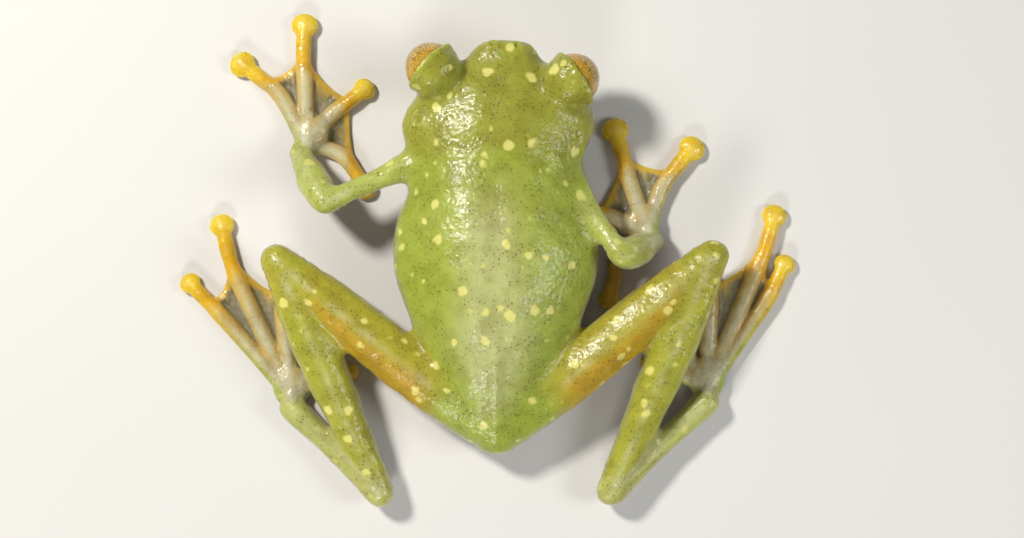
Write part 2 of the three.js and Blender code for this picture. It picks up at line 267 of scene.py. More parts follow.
def close_rings(bm, rings):
    """Joins a row of rings into one closed shell."""
    loops = []
    for i, corners in enumerate(rings):
        at_end = i in (0, len(rings) - 1)
        made = bmesh.ops.create_circle(bm, cap_ends=at_end, segments=len(corners), radius=1)["verts"]
        for vertex, corner in zip(made, corners):
            vertex.co = corner
        loops.append({edge for vertex in made for edge in vertex.link_edges})
    for one, other in zip(loops, loops[1:]):
        bmesh.ops.bridge_loops(bm, edges=list(one | other))


END_ANGLES = np.radians([86, 66, 44, 22])


def tube(bm, joints, widths, heights=None, sides=20, steps=8):
    """A round-ended limb through its joints. Its half-width and half-height change along it."""
    path = smooth_table(joints, steps)
    share = np.linspace(0, 1, len(path))
    wide = smooth_table(widths)[:, 0]
    high = smooth_table(heights or widths)[:, 0]
    wide = np.interp(share, np.linspace(0, 1, len(wide)), wide)
    high = np.interp(share, np.linspace(0, 1, len(high)), high)
    tangents = np.gradient(path, axis=0)
    tangents /= np.linalg.norm(tangents, axis=1)[:, None]
    places = [(0, -math.sin(a), math.cos(a)) for a in END_ANGLES]
    places += [(i, 0, 1) for i in range(len(path))]
    places += [(len(path) - 1, math.sin(a), math.cos(a)) for a in reversed(END_ANGLES)]
    around = np.linspace(0, 2 * math.pi, sides, endpoint=False)
    rings = []
    for i, beyond, size in places:
        across = np.cross(tangents[i], (0, 0, 1))
        across /= np.linalg.norm(across)
        lift = np.cross(across, tangents[i])
        centre = path[i] + tangents[i] * beyond * (wide[i] + high[i]) / 2
        offsets = np.outer(np.cos(around), across * wide[i]) + np.outer(np.sin(around), lift * high[i])
        rings.append(centre + offsets * size)
    close_rings(bm, rings)


def pad(bm, centre, size, turn=0.0):
    """An egg-shaped swelling of the given half-sizes."""
    matrix = Matrix.Translation(centre) @ Matrix.Rotation(turn, 4, "Z") @ Matrix.Diagonal((*size, 1))
    bmesh.ops.create_uvsphere(bm, u_segments=24, v_segments=16, radius=1, matrix=matrix)


def body_shell(bm):
    """Head and trunk as one shell from its cross-sections."""
    around = np.linspace(0, 2 * math.pi, 72, endpoint=False)
    rise = np.sign(np.sin(around)) * np.abs(np.sin(around)) ** BODY_SQUARENESS
    aside = np.sign(np.cos(around)) * np.abs(np.cos(around)) ** BODY_SQUARENESS
    front, rear = SNOUT_Y + BODY_END_DEPTH, VENT_Y - BODY_END_DEPTH
    places = [(front, -math.sin(a), math.cos(a)) for a in END_ANGLES]
    places += [(y, 0, 1) for y in np.linspace(front, rear, 80)]
    places += [(rear, math.sin(a), math.cos(a)) for a in reversed(END_ANGLES)]
    rings = []
    for y, beyond, size in places:
        low, high, belly, back = (body_measure(k, y) for k in (1, 2, 3, 4))
        width = low + (high - low) * step(0, 1, rise)
        z = (belly + back) / 2 + size * rise * (back - belly) / 2
        x = midline(y) + aside * width * size
        rings.append(np.stack([x, np.full_like(x, y + beyond * BODY_END_DEPTH), z], 1))
    close_rings(bm, rings)


def at(point, height=DIGIT_HEIGHT):
    """A place given as x and y, or with its own height."""
    return np.array([point[0], point[1], point[2] if len(point) > 2 else height])


def web_edge(root, one, other, count=12):
    """The hollowed free edge of the web between two digits."""
    middle = (one + other) / 2
    notch = root + (middle - root) * WEB_FULLNESS
    t = np.linspace(0, 1, count)[:, None]
    return one * (1 - t) ** 2 + notch * 2 * t * (1 - t) + other * t ** 2


def web(bm, root, one, other):
    """The thin skin between two digits, with a thicker hem along its free edge."""
    bends = [at(digit[1]) for digit in (one, other)]
    edge = web_edge(root, *bends)
    outline = [root, at(one[0]), *edge, at(other[0])]
    corners = [bm.verts.new((p[0], p[1], WEB_LEVEL)) for p in outline]
    plate = bmesh.ops.extrude_face_region(bm, geom=[bm.faces.new(corners)], use_keep_orig=True)["geom"]
    lifted = [part for part in plate if isinstance(part, bmesh.types.BMVert)]
    bmesh.ops.translate(bm, vec=(0, 0, WEB_THICKNESS), verts=lifted)
    hem = edge.copy()
    hem[:, 2] = WEB_LEVEL + WEB_THICKNESS / 2
    tube(bm, hem[::2], [HEM_RADIUS, HEM_RADIUS], sides=10, steps=2)


def digit_path(start, digit):
    """A digit's centre line from inside the palm or sole to the middle of its disc."""
    knuckle, bend, tip = (at(p) for p in digit)
    return [start, knuckle, bend, tip]


def hand_and_foot(limb):
    """Wrist and palm with the fingers, and sole and instep with the toes."""
    wrist, palm, sole = (np.array(p) for p in (limb["arm"][2], limb["palm"], limb["leg"][3]))
    instep = sole + (at(limb["toes"][2][0]) - sole) * 0.25
    return (wrist, palm, limb["fingers"], FINGER_DISC), (sole, instep, limb["toes"], TOE_DISC)


def hand_or_foot(bm, root, middle, digits, discs, size):
    """Palm or sole with its digits, discs and webs."""
    start = (root + middle) / 2
    start[2] = DIGIT_HEIGHT
    turn = math.atan2(middle[1] - root[1], middle[0] - root[0])
    pad(bm, middle, size, turn)
    tube(bm, [root, middle], [size[2], size[2] * 0.9])
    for digit, disc in zip(digits, discs):
        thinner = [r * (0.85 + 0.35 * disc) for r in DIGIT]
        tube(bm, digit_path(start, digit), thinner, [r * 0.92 for r in thinner], sides=14)
        tip, bend = at(digit[2]), at(digit[1])
        heading = math.atan2(tip[1] - bend[1], tip[0] - bend[0])
        pad(bm, (tip[0], tip[1], DISC_HEIGHT), (disc * 0.9, disc, 0.4), heading)
    for one, other in zip(digits, digits[1:]):
        web(bm, start, one, other)


def new_object(name, bm):
    bmesh.ops.recalc_face_normals(bm, faces=bm.faces)
    mesh = bpy.data.meshes.new(name)
    bm.to_mesh(mesh)
    bm.free()
    made = bpy.data.objects.new(name, mesh)
    bpy.context.scene.collection.objects.link(made)
    return made


def apply_modifier(piece, kind, **settings):
    """Runs one modifier on a piece and keeps its result."""
    modifier = piece.modifiers.new(kind, kind)
    for key, value in settings.items():
        setattr(modifier, key, value)
    done = piece.evaluated_get(bpy.context.evaluated_depsgraph_get())
    mesh = bpy.data.meshes.new_from_object(done)
    piece.modifiers.clear()
    piece.data = mesh


# Reading and moving vertices.


def read_places(mesh):
    places = np.empty(len(mesh.vertices) * 3)
    mesh.vertices.foreach_get("co", places)
    return places.reshape(-1, 3)


def write_places(mesh, places):
    mesh.vertices.foreach_set("co", places.ravel())
    mesh.update()


def read_normals(mesh):
    normals = np.empty(len(mesh.vertices) * 3, np.float32)
    mesh.vertex_normals.foreach_get("vector", normals)
    return normals.reshape(-1, 3).astype(float)


def neighbour_steps(mesh):
    """A function that says how far each vertex lies from the middle of its neighbours."""
    edges = np.empty(len(mesh.edges) * 2, np.int32)
    mesh.edges.foreach_get("vertices", edges)
    one, other = edges.reshape(-1, 2).T
    count = np.bincount(edges, minlength=len(mesh.vertices))[:, None]

    def steps(places):
        total = np.empty_like(places)
        for axis in range(3):
            total[:, axis] = np.bincount(one, places[other, axis], len(places))
            total[:, axis] += np.bincount(other, places[one, axis], len(places))
        return total / np.maximum(count, 1) - places

    return steps


def fill_hollows(mesh, weight, rounds):
    """Rounds out the creases where limbs meet the body, and leaves ridges as they are."""
    steps = neighbour_steps(mesh)
    places = read_places(mesh)
    for i in range(rounds):
        if i % 8 == 0:
            write_places(mesh, places)
            normals = read_normals(mesh)
        outward = np.maximum((steps(places) * normals).sum(1), 0) * weight(places)
        places += normals * outward[:, None]
    write_places(mesh, places)


def relax(mesh, weight, rounds):
    """Plain smoothing by a weight for each vertex."""
    steps = neighbour_steps(mesh)
    places = read_places(mesh)
    share = weight(places)[:, None] * 0.5
    for _ in range(rounds):
        places += steps(places) * share
    write_places(mesh, places)


def near(places, spots):
    """1 within each spot's reach, falling to 0 at twice the reach."""
    best = np.zeros(len(places))
    for centre, reach in spots:
        away = np.linalg.norm(places - np.array(centre), axis=1)
        best = np.maximum(best, step(2 * reach, reach, away))
    return best


def along_path(places, path):
    """Each place's distance from a path and its share along it. A flat path is met from above."""
    path = np.array(path, float)
    if path.shape[1] == 2:
        places = places[:, :2]
    lengths = np.linalg.norm(np.diff(path, axis=0), axis=1)
    before = np.concatenate([[0], np.cumsum(lengths)])
    best = np.full(len(places), 1e9)
    share = np.zeros(len(places))
    for i, length in enumerate(lengths):
        direction = (path[i + 1] - path[i]) / length
        t = np.clip((places - path[i]) @ direction, 0, length)
        away = np.linalg.norm(places - path[i] - t[:, None] * direction, axis=1)
        closer = away < best
        best[closer] = away[closer]
        share[closer] = (before[i] + t[closer]) / before[-1]
    return best, share


def inside_outline(places, outline):
    """Signed distance from a closed outline seen from above: above 0 inside it."""
    outline = np.array(outline)
    if np.array_equal(outline[0], outline[-1]):
        outline = outline[:-1]
    away, _ = along_path(places, np.vstack([outline, outline[:1]]))
    inside = np.zeros(len(places), bool)
    x, y = places[:, 0], places[:, 1]
    for (ax, ay), (bx, by) in zip(outline, np.roll(outline, -1, axis=0)):
        if ay == by:
            continue
        crosses = ((ay > y) != (by > y)) & (x < (bx - ax) * (y - ay) / (by - ay) + ax)
        inside ^= crosses
    return np.where(inside, away, -away)


# Eyes' places.


def eye_centre(side):
    from_neck = Vector((side * EYE_ASIDE, EYE_Y - NECK_Y, EYE_HEIGHT))
    from_neck.rotate(Matrix.Rotation(-HEAD_TURN, 3, "Z"))
    return np.array(from_neck) + (0, NECK_Y, 0)


def eye_axes(side):
    """The eye's gaze, its horizontal and its upward direction."""
    gaze = Vector((side * math.sin(GAZE_ASIDE), -math.cos(GAZE_ASIDE), math.tan(GAZE_UP))).normalized()
    gaze.rotate(Matrix.Rotation(-HEAD_TURN, 3, "Z"))
    level = gaze.cross(Vector((0, 0, 1))).normalized()
    return np.array(gaze), np.array(level), np.array(level.cross(gaze))


def head_frame(places):
    """Places in the head's own straight frame, with the neck as its turning point."""
    turn = np.array(Matrix.Rotation(HEAD_TURN, 3, "Z"))
    return (places - (0, NECK_Y, 0)) @ turn.T + (0, NECK_Y, 0)


# The skin.


def rough_body():
    """Body, limbs and lids fused coarsely, with soft joints."""
    bm = bmesh.new()
    body_shell(bm)
    soft_spots = []
    for name, limb in LIMBS.items():
        shoulder, elbow, wrist = (np.array(p) for p in limb["arm"])
        hip, knee, heel, sole = (np.array(p) for p in limb["leg"])
        tube(bm, [shoulder, elbow], UPPER_ARM, steps=12)
        tube(bm, [elbow, wrist], FOREARM, steps=12)
        tube(bm, [hip, knee], THIGH, steps=16, sides=28)
        tube(bm, [knee, heel], SHANK, steps=16, sides=24)
        tube(bm, [heel, sole], TARSUS, steps=12)
        soft_spots += [(shoulder, 2.4), (elbow, 1.1), (hip, 3.0), (knee, 1.3), (heel, 1.1)]
        side = 1 if name == "left" else -1
        reach = EYE_RADIUS + LID_THICKNESS
        pad(bm, eye_centre(side), (reach, reach, reach))
        soft_spots.append((eye_centre(side), 1.9))
    body = new_object("rough_body", bm)
    apply_modifier(body, "REMESH", mode="VOXEL", voxel_size=COARSE_VOXEL)
    fill_hollows(body.data, lambda places: near(places, soft_spots) * 0.9 + 0.1, 60)
    relax(body.data, lambda places: np.ones(len(places)), 6)
    return body


def fused_skin():
    """The whole frog as one shell."""
    bm = bmesh.new()
    fans = []
    for limb in LIMBS.values():
        hand, foot = hand_and_foot(limb)
        foot[1][2] = INSTEP_HEIGHT
        hand_or_foot(bm, *hand, HAND_SIZE)
        hand_or_foot(bm, *foot, FOOT_SIZE)
        fans += [(hand[0], 1.0), (hand[1], 0.7), (foot[0], 1.1), (foot[1], 0.7)]
    body = rough_body()
    bm.from_mesh(body.data)
    bpy.data.objects.remove(body)
    skin = new_object("skin", bm)
    apply_modifier(skin, "REMESH", mode="VOXEL", voxel_size=FINE_VOXEL)
    fill_hollows(skin.data, lambda places: near(places, fans) * 0.8 + 0.2, 24)
    relax(skin.data, lambda places: 0.4 + 0.6 * step(1.0, 2.2, places[:, 2]), 5)
    return skin


def shape_lids(places):
    """Draws the skin round each eyeball, with an opening towards its gaze."""
    for side in (-1, 1):
        centre = eye_centre(side)
        gaze, level, up = eye_axes(side)
        offset = places - centre
        away = np.linalg.norm(offset, axis=1)
        towards = offset / np.maximum(away, 1e-6)[:, None]
        angle = np.arccos(np.clip(towards @ gaze, -1, 1))
        across, rise = towards @ level, towards @ up
        turn = np.arctan2(rise, np.abs(across))
        vertical = np.where(rise > 0, LID_OPENING["above"], LID_OPENING["below"])
        open_to = np.sqrt((LID_OPENING["across"] * np.cos(turn)) ** 2 + (vertical * np.sin(turn)) ** 2)
        past_rim = angle - open_to
        lid = EYE_RADIUS + LID_THICKNESS * (0.75 + 0.5 * bump(past_rim - 0.1, 0.12))
        sunk = EYE_RADIUS - SOCKET_DEPTH
        wanted = sunk + (lid - sunk) * step(-0.1, 0.03, past_rim)
        held = step(1.95, 1.6, angle) * step(EYE_RADIUS + 1.2, EYE_RADIUS + 0.5, away)
        held *= step(0.0, 0.25, offset @ gaze + 0.35)
        places += towards * ((wanted - away) * held)[:, None]
    return places


MOUTH_HEIGHT = 1.9
MOUTH_RISE = 0.2  # at the snout
MOUTH_DIP = 0.25  # towards the corners
MOUTH_CORNER_Y = -8.4
NOSTRIL = (0.8, -13.5, 4.6)
EARDRUM = (4.75, -8.35, 4.25)
EARDRUM_RADIUS = 0.5
EAR_FOLD = [(4.6, -10.0, 5.3), (5.1, -8.9, 5.0), (5.3, -7.8, 4.3), (5.1, -6.8, 3.5)]
SNOUT_RIDGE = [(1.15, -13.2, 4.7), (2.2, -12.3, 5.1), (3.0, -11.6, 5.6)]


def mouth_height(head):
    """Height of the mouth slit, which dips a little towards its corners and rises at the snout."""
    y = head[:, 1]
    rise = MOUTH_RISE * step(-11.0, -12.6, y)
    return MOUTH_HEIGHT + rise - MOUTH_DIP * step(-10.5, MOUTH_CORNER_Y, y)


def shape_face(places, normals):
    """Mouth slit, lips, nostrils, eardrum, the fold behind it and the ridge from snout to eye."""
    head = head_frame(places)
    sloping = np.abs(normals[:, 2]) < 0.97
    forward = step(MOUTH_CORNER_Y + 0.5, MOUTH_CORNER_Y - 0.5, head[:, 1]) * sloping
    gap = head[:, 2] - mouth_height(head)
    move = -0.13 * bump(gap, 0.075) * forward
    move += 0.07 * bump(gap - 0.24, 0.16) * forward
    for sign in (-1, 1):
        nostril = np.linalg.norm(head - np.array(NOSTRIL) * (sign, 1, 1), axis=1)
        nostril = np.linalg.norm(head - head[nostril.argmin()], axis=1)
        move += 0.16 * bump(nostril, 0.36) - 0.36 * bump(nostril, 0.13)
        drum = np.linalg.norm(head - np.array(EARDRUM) * (sign, 1, 1), axis=1)
        move += 0.07 * bump(drum - EARDRUM_RADIUS, 0.1) - 0.04 * step(EARDRUM_RADIUS, 0, drum)
        for line, height, width in ((EAR_FOLD, 0.13, 0.22), (SNOUT_RIDGE, 0.1, 0.3)):
            away, _ = along_path(head, smooth_table(np.array(line) * (sign, 1, 1), 4))
            move += height * bump(away, width)
    between = bump(head[:, 0], 1.1) * bump(head[:, 1] + 11.4, 1.3) * step(0.3, 0.9, normals[:, 2])
    move -= 0.16 * between
    return places + normals * move[:, None]


def shape_back(places, normals):
    """Backbone, the hump of the hips, the tail bone and shallow muscle forms."""
    x, y, _ = places.T
    upward = step(0.2, 0.8, normals[:, 2]) * (np.abs(x) < BACK_HALF_WIDTH)
    groove = bump(x, 0.55) * step(-6.5, -4.5, y) * step(3.5, 1.5, y)
    hump = bump(np.abs(x) - 1.25, 0.6) * bump(y - 3.4, 1.5)
    tail_bone = bump(x, 0.42) * step(3.6, 5.5, y) * step(11.5, 9.5, y)
    blades = bump(np.abs(x) - 2.6, 1.0) * bump(y + 4.7, 1.2)
    move = upward * (-0.1 * groove + 0.16 * hump + 0.15 * tail_bone + 0.1 * blades)
    return places + normals * move[:, None]


def ripple(places, scale, seed):
    """A soft seeded unevenness between about -1 and 1, made of crossing waves."""
    draws = np.random.default_rng(seed)
    total = np.zeros(len(places))
    for _ in range(10):
        direction = draws.normal(size=3)
        direction *= 2 * math.pi / (scale * draws.uniform(0.7, 1.5)) / np.linalg.norm(direction)
        total += np.sin(places @ direction + draws.uniform(0, 2 * math.pi))
    return total / 4


def shape_digits(places, normals):
    """The groove round each disc's rim, and a low swelling at each digit's bend."""
    move = np.zeros(len(places))
    for limb in LIMBS.values():
        for _, _, digits, discs in hand_and_foot(limb):
            for digit, disc in zip(digits, discs):
                tip, bend = at(digit[2], DISC_HEIGHT), at(digit[1], DISC_HEIGHT)
                offset = (places - tip)[:, :2]
                ahead = offset @ ((tip - bend)[:2] / np.linalg.norm((tip - bend)[:2]))
                away = np.linalg.norm(offset, axis=1)
                front = step(-0.25, 0.25, ahead / disc) * (places[:, 2] < 1.2)
                move -= 0.07 * bump(away - disc * 0.8, 0.07) * front * step(0.1, 0.4, normals[:, 2])
                knuckle = np.linalg.norm((places - at(digit[1]))[:, :2], axis=1)
                move += 0.05 * bump(knuckle, 0.4) * (places[:, 2] < 1.2)
    return places + normals * move[:, None]


# Hollows between the muscles of each limb: how far round from its rear or inner side, where they start
# and end along it, and how deep they are.
MUSCLE_GAPS = {
    "thigh": [(35, 0.3, 0.92, 0.13), (-35, 0.3, 0.9, 0.1), (115, 0.45, 0.9, 0.09)],
    "shank": [(70, 0.12, 0.8, 0.12), (-55, 0.1, 0.75, 0.1), (160, 0.2, 0.9, 0.06)],
    "tarsus": [(85, 0.12, 0.85, 0.1)],
    "forearm": [(60, 0.15, 0.8, 0.09)],
}


def round_limb(places, start, end, side):
    """Each place's distance from a segment, its share along it, and its turn in degrees from the rear."""
    start, end = np.array(start), np.array(end)
    away, share = along_path(places, (start, end))
    direction = (end - start) / np.linalg.norm(end - start)
    rear = np.cross(direction, (0, 0, 1)) * -side
    rear /= np.linalg.norm(rear)
    lift = np.cross(rear, direction)
    offset = places - start - np.outer((places - start) @ direction, direction)
    return away, share, np.degrees(np.arctan2(offset @ lift * np.sign(lift[2]), offset @ rear))


def shape_limbs(places, normals):
    """Muscles and tendons along the limbs, and fine creases at the bends."""
    move = np.zeros(len(places))
    for name, limb in LIMBS.items():
        side = 1 if name == "left" else -1
        _, elbow, wrist = limb["arm"]
        hip, knee, heel, sole = limb["leg"]
        segments = {
            "thigh": (hip, knee, side, THIGH), "shank": (knee, heel, -side, SHANK),
            "tarsus": (heel, sole, side, TARSUS), "forearm": (elbow, wrist, side, FOREARM),
        }
        for segment, (start, end, facing, radii) in segments.items():
            away, share, turn = round_limb(places, start, end, facing)
            on_limb = step(max(radii) * 1.35, max(radii) * 1.05, away)
            for angle, first, last, depth in MUSCLE_GAPS[segment]:
                along = step(first - 0.12, first + 0.12, share) * step(last + 0.08, last - 0.12, share)
                move -= depth * bump(turn - angle, 17) * along * on_limb
        for joint, reach in ((knee, 1.5), (heel, 1.2), (elbow, 1.0)):
            away = np.linalg.norm(places - np.array(joint), axis=1)
            move += 0.022 * np.cos(away * 2 * math.pi / 0.42) * bump(away - reach, 0.6)
    return places + normals * move[:, None]


def sculpt(skin):
    """Moves the fused skin's vertices into the folds and small forms."""
    mesh = skin.data
    write_places(mesh, shape_lids(read_places(mesh)))
    for shape in (shape_face, shape_back, shape_limbs, shape_digits):
        write_places(mesh, shape(read_places(mesh), read_normals(mesh)))
    places, normals = read_places(mesh), read_normals(mesh)
    uneven = 0.03 * ripple(places, 1.6, 5) + 0.012 * ripple(places, 0.5, 6)
    uneven *= step(0.6, 1.6, places[:, 2])
    places += normals * uneven[:, None]
    places[:, 2] = np.maximum(places[:, 2], 0)
    write_places(mesh, places)


def thin_out(piece, wanted):
    """Fewer triangles where the skin is plain, and few lost on the belly, the mouth and round the eyes."""
    places, normals = read_places(piece.data), read_normals(piece.data)
    x, y, z = places.T
    on_body = np.abs(x) < BODY_HALF_WIDTH
    kept = (normals[:, 2] < -0.2) & on_body & (y < 10.5)
    kept |= (np.abs(z - MOUTH_HEIGHT) < 0.6) & on_body & (y < MOUTH_CORNER_Y)
    for side in (-1, 1):
        kept |= np.linalg.norm(places - eye_centre(side), axis=1) < EYE_RADIUS + 0.7
    plain = piece.vertex_groups.new(name="plain")
    plain.add(np.flatnonzero(~kept).tolist(), 1.0, "REPLACE")
    triangles = sum(len(face.vertices) - 2 for face in piece.data.polygons)
    ratio = wanted / triangles
    apply_modifier(piece, "DECIMATE", ratio=ratio, vertex_group="plain", vertex_group_factor=1.0)
    piece.vertex_groups.clear()


# Markings, painted by zone.


def set_numbers(mesh, name, values):
    mesh.attributes.new(name, "FLOAT", "POINT").data.foreach_set("value", values.astype(np.float32))


def set_colours(mesh, name, colours):
    filled = np.hstack([colours, np.ones((len(colours), 1))]).astype(np.float32)
    mesh.attributes.new(name, "FLOAT_COLOR", "POINT").data.foreach_set("color", filled.ravel())


def lay(colours, name, share):
    """Lays one palette colour over the others, in place, by its share at each vertex."""
    share = np.clip(share, 0, 1)[:, None]
    colours[:] = colours * (1 - share) + linear(name) * share


# The organs' outlines and lines on the belly.
ORGANS = [
    (-1.05, -3.0), (1.35, -3.0), (1.9, -1.2), (2.0, 0.9), (2.25, 3.0), (2.45, 4.6), (1.9, 6.6),
    (1.05, 8.6), (0.1, 9.4), (-0.9, 8.4), (-1.7, 6.6), (-2.1, 4.7), (-1.9, 3.9), (-2.0, 2.2),
    (-1.75, 0.9), (-1.35, -0.8),
]
HEART = [
    (-2.2, -5.6), (0.2, -5.0), (2.9, -5.7), (2.1, -4.6), (1.35, -3.2), (0.75, -2.25), (0.1, -2.1),
    (-0.6, -2.6), (-1.25, -4.3),
]
GALL = [
    (-2.4, 0.5), (-1.95, -0.15), (-1.2, 0.05), (-0.2, 0.35), (-0.55, 0.8), (-1.2, 1.3), (-1.9, 1.6),
    (-2.35, 1.2),
]
VEIN = [
    (-0.3, 0.5), (0.1, 0.35), (0.5, 0.75), (0.62, 1.6), (0.5, 3.0), (0.42, 4.6), (0.38, 5.9), (0.1, 7.2),
    (-0.02, 8.5),
]
LACE = [
    [(-2.0, -5.2), (-1.35, -4.9), (-1.05, -4.0), (-0.95, -2.9), (-1.2, -1.6), (-1.5, -0.6)],
    [(-2.2, 1.7), (-2.6, 2.5), (-3.1, 3.0), (-2.85, 4.0), (-2.55, 5.0), (-2.3, 6.2)],
    [(-3.1, 3.0), (-3.45, 2.7), (-2.95, 2.3)],
    [(-3.05, 3.2), (-3.75, 3.1)],
    [
        (2.9, -5.6), (1.95, -5.2), (1.55, -4.6), (1.6, -3.2), (1.75, -2.4), (2.2, -1.2), (2.35, 0.3),
        (2.9, 1.7), (3.6, 2.6),
    ],
    [(3.6, 2.6), (4.2, 2.4), (4.35, 3.1), (3.8, 3.3), (3.6, 2.6)],
    [(4.3, 3.1), (3.9, 4.2), (3.3, 5.3), (2.7, 6.4)],
    [(3.7, 3.3), (3.5, 4.3), (3.0, 5.2)],
]
SIDE_VEINS = [
    [(-1.2, -3.2), (-2.4, -3.35), (-3.6, -3.1), (-4.6, -2.5)],
    [(2.4, 0.0), (3.2, 0.35), (4.1, 0.85)],
    [(-2.2, -6.9), (-2.9, -7.6), (-3.1, -8.2)],
    [(1.0, -7.6), (0.9, -8.6), (2.0, -8.8), (2.1, -7.9)],
]


def organ_fields(mesh, places, normals):
    """Distances to the organs' outlines and lines, read by the belly's pattern."""
    aside = np.abs(places[:, 0]) / BODY_HALF_WIDTH
    below = step(0.0, -0.45, normals[:, 2]) * step(1.0, 0.3, aside)
    below *= step(-7.2, -6.2, places[:, 1])
    limb_free = step(12.0, 10.5, places[:, 1])
    set_numbers(mesh, "below", below * limb_free)
    for name, outline in (("organs", closed_curve(ORGANS)), ("heart", HEART), ("gall", closed_curve(GALL))):
        set_numbers(mesh, name, inside_outline(places, outline))
    vein, share = along_path(places, smooth_table(VEIN, 4))
    set_numbers(mesh, "vein", vein + 0.14 * step(0.55, 1.0, share))
    for name, lines in (("lace", LACE), ("side_veins", SIDE_VEINS)):
        nearest = np.min([along_path(places, smooth_table(line, 4))[0] for line in lines], axis=0)
        set_numbers(mesh, name, nearest)


def paint(mesh):
    """Lays the skin's soft colour zones and says where spots, specks and see-through skin are."""
    places, normals = read_places(mesh), read_normals(mesh)
    x, y, _ = places.T
    up = step(-0.2, 0.8, normals[:, 2])
    on_body = np.abs(x) < BACK_HALF_WIDTH
    colours = np.tile(linear("flank"), (len(places), 1))
    lay(colours, "belly", step(0.1, -0.6, normals[:, 2]))
    lay(colours, "back", up)
    lay(colours, "back_pale", up * bump(x, 3.2) * step(-7, -3, y) * step(9, 4, y) * 0.45)
    seen_through = up * on_body
    inner = inside_outline(places, closed_curve(ORGANS))
    lay(colours, "organ", seen_through * step(-1.2, 1.2, inner) * 0.2)
    lay(colours, "heart", seen_through * step(-1.0, 1.0, inside_outline(places, HEART)) * 0.16)
    head = head_frame(places)
    in_head = step(NECK_Y + 0.9, NECK_Y - 1.2, y) * (np.abs(x) < 7.5)
    in_head *= step(2.2, 1.6, np.abs(head[:, 0]) / np.maximum(body_measure(1, y), 1))
    mouth = head[:, 2] - mouth_height(head)
    lay(colours, "throat", in_head * step(0.35, -0.05, mouth))
    # Grey patches under each jaw corner: the see-through throat's own grey, deepened by painted shade of
    # the jaw.
    for side in (-1, 1):
        jaw_shade_distance = np.hypot(head[:, 0] - side * 3.7, (head[:, 1] + 8.3) * 0.8)
        lay(colours, "belly", in_head * bump(jaw_shade_distance, 1.1) * step(0.0, -0.5, mouth) * 0.45)
    lay(colours, "snout", in_head * step(0.2, 0.7, mouth) * 0.75)
    lip = bump(mouth - 0.1, 0.3) * in_head
    lip *= step(MOUTH_CORNER_Y + 1.5, MOUTH_CORNER_Y - 0.5, head[:, 1])
    lay(colours, "lip", lip * step(0.95, 0.7, normals[:, 2]) * 0.85)
    chest = step(0.2, -0.4, normals[:, 2]) * bump(y + 5.9, 1.5) * on_body
    lay(colours, "chest", chest * 0.8)
    lay(colours, "vent", step(8.2, 10.8, y) * step(0.4, -0.4, normals[:, 2]) * (np.abs(x) < 5))
    spots = up.copy()
    clear = np.zeros(len(places))
    yellow = np.zeros(len(places))
    for limb in LIMBS.values():
        spots = paint_limbs(colours, spots, places, normals, limb)
        clear, yellow = paint_extremities(colours, clear, yellow, places, normals, limb)
    spots *= 1 - np.clip(clear + yellow * 1.5, 0, 1)
    specks = np.maximum(up, in_head * step(0.3, 0.8, mouth) * 0.9)
    specks *= 1 - 0.85 * np.clip(clear + yellow, 0, 1)
    set_colours(mesh, "zone", colours)
    for name, values in (("spotted", spots), ("specked", specks), ("clear", clear)):
        set_numbers(mesh, name, values)
    organ_fields(mesh, places, normals)


def limb_share(places, joints, radii):
    """How much each vertex belongs to a limb."""
    away, _ = along_path(places, joints)
    return step(max(radii) * 1.45, max(radii) * 1.05, away)


def paint_limbs(colours, spots, places, normals, limb):
    """Lays the colours of thigh, shank, tarsus and arm, with the pale bone seen through each."""
    shoulder, elbow, wrist = limb["arm"]
    hip, knee, heel, sole = limb["leg"]
    up = step(-0.2, 0.6, normals[:, 2])
    rear = step(-0.1, 0.7, normals[:, 1])
    past_body = step(2.0, 4.5, np.linalg.norm(places[:, :2] - np.array(hip[:2]), axis=1))
    thigh = limb_share(places, (hip, knee), THIGH) * past_body
    lay(colours, "thigh_under", thigh * (1 - up))
    lay(colours, "back", thigh * up * 0.75)
    lay(colours, "amber", thigh * np.clip(rear * 0.95 + up * 0.45, 0, 1))
    shank = limb_share(places, (knee, heel), SHANK)
    lay(colours, "shank_under", shank * (1 - up))
    lay(colours, "back", shank * up * 0.8)
    lay(colours, "amber", shank * up * 0.25)
    tarsus = limb_share(places, (heel, sole), TARSUS)
    lay(colours, "tarsus", tarsus * (1 - 0.6 * up))
    lay(colours, "back_pale", tarsus * up * 0.5)
    arm = limb_share(places, (shoulder, elbow, wrist), FOREARM)
    arm *= step(1.0, 2.6, np.linalg.norm(places[:, :2] - np.array(shoulder[:2]), axis=1))
    lay(colours, "tarsus", arm * (1 - up))
    lay(colours, "back_pale", arm * up * 0.5)
    bones = [(thigh, (hip, knee)), (shank, (knee, heel)), (tarsus, (heel, sole)), (arm, limb["arm"])]
    for share, ends in bones:
        aside, _ = along_path(places, [end[:2] for end in ends])
        lay(colours, "bone", share * bump(aside, 0.24) * (0.2 + 0.16 * ripple(places, 1.1, 9)))
    return spots * (1 - 0.55 * np.clip(tarsus + arm * 0.5, 0, 1))


